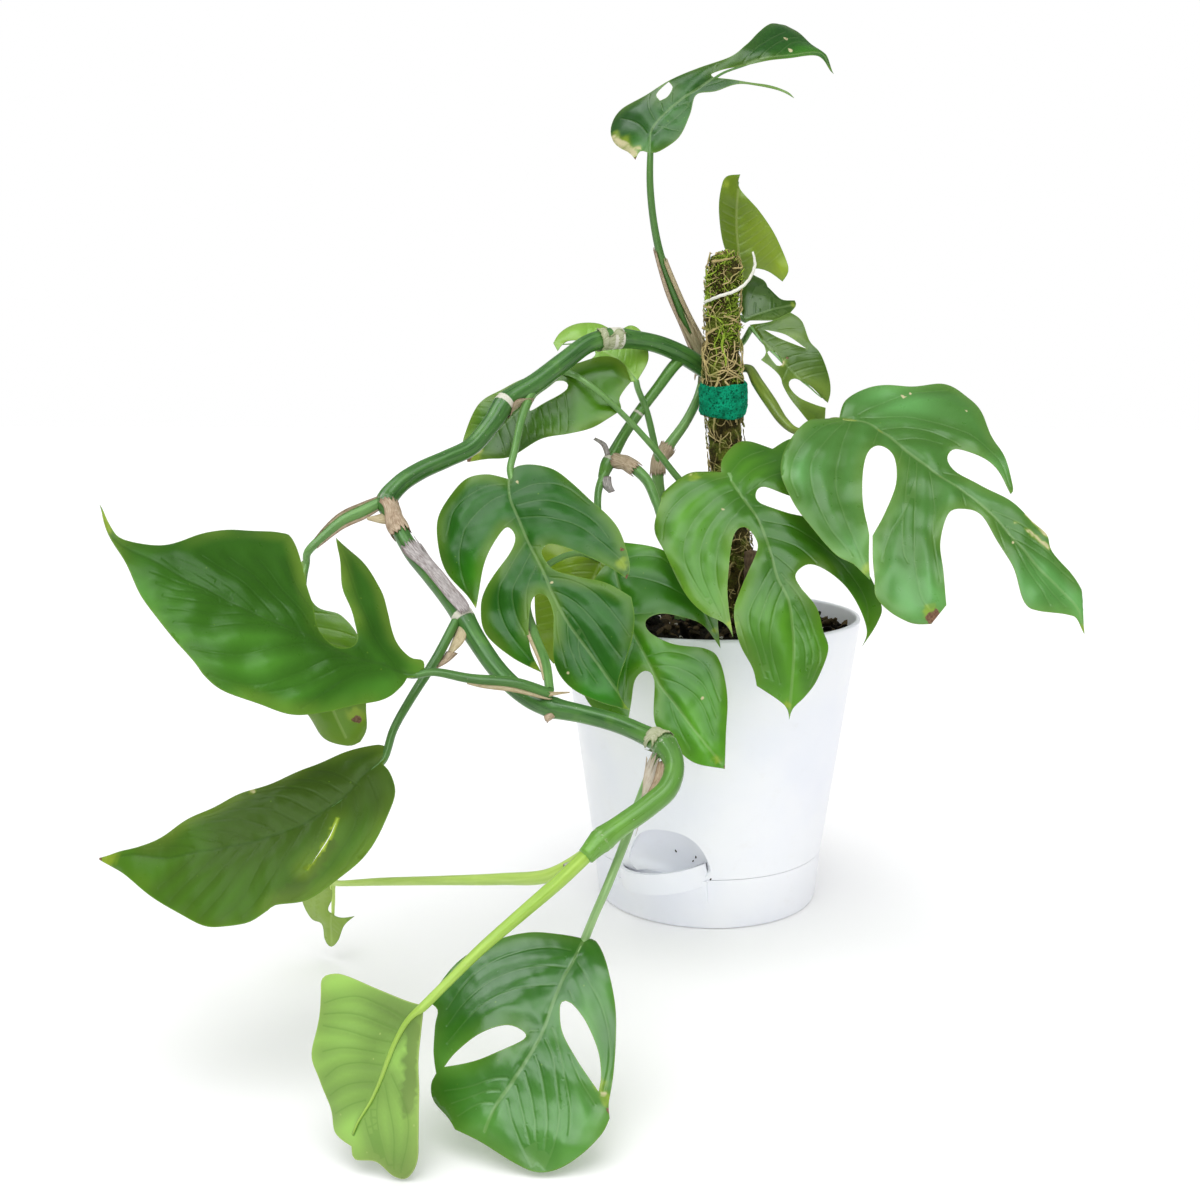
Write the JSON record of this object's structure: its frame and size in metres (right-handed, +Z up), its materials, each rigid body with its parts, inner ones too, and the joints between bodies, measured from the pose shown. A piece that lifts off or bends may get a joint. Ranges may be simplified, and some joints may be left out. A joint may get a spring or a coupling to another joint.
{
  "type": "potted mini monstera",
  "caption": "Climbing plant with split leaves on a zigzag vine, tied to a moss pole in a white self-watering pot with a filling lip.",
  "frame": {"origin": "centre of the pot's foot, on the surface that it stands on", "axes": "+Z up along the pot's axis, -Y the front, towards which the leaves face and the filling lip points"},
  "size_m": [0.3835, 0.3433, 0.4382],
  "materials": {
    "pot_plastic": "smooth white moulded plastic, satin",
    "potting_soil": "dark brown moist potting soil with white perlite grains",
    "moss": "packed moss and coir fibre, rough",
    "tie_foam": "teal plant tie, matt and pitted",
    "pale_root": "pale aerial root, satin",
    "dry_stem": "dry brown stem, matt",
    "vine_green": "smooth green stem with dry sheaths",
    "leaf_green": "glossy leathery leaf, paler veins and underside",
    "leaf_pale": "young light green leaf, soft gloss"
  },
  "bodies": {
    "root": {"pot_reservoir": "pot_plastic", "planter": "pot_plastic", "soil": "potting_soil", "moss_pole": "moss", "pole_tie": "tie_foam", "aerial_root": "pale_root", "old_stem": "dry_stem", "vine": "vine_green", "middle_stem": "vine_green", "leaf_far_left": "leaf_green", "leaf_hanging_left": "leaf_pale", "leaf_low_left": "leaf_green", "leaf_front": "leaf_green", "leaf_new_front": "leaf_pale", "leaf_new_small": "leaf_pale", "leaf_behind_vine": "leaf_green", "leaf_new_top_left": "leaf_pale", "leaf_centre_left": "leaf_green", "leaf_centre": "leaf_green", "leaf_over_rim": "leaf_green", "leaf_shaded": "leaf_pale", "leaf_right": "leaf_green", "leaf_top": "leaf_green", "leaf_behind_pole": "leaf_green", "leaf_pole_upper": "leaf_green", "leaf_pole_lower": "leaf_green"}
  },
  "joints": []
}
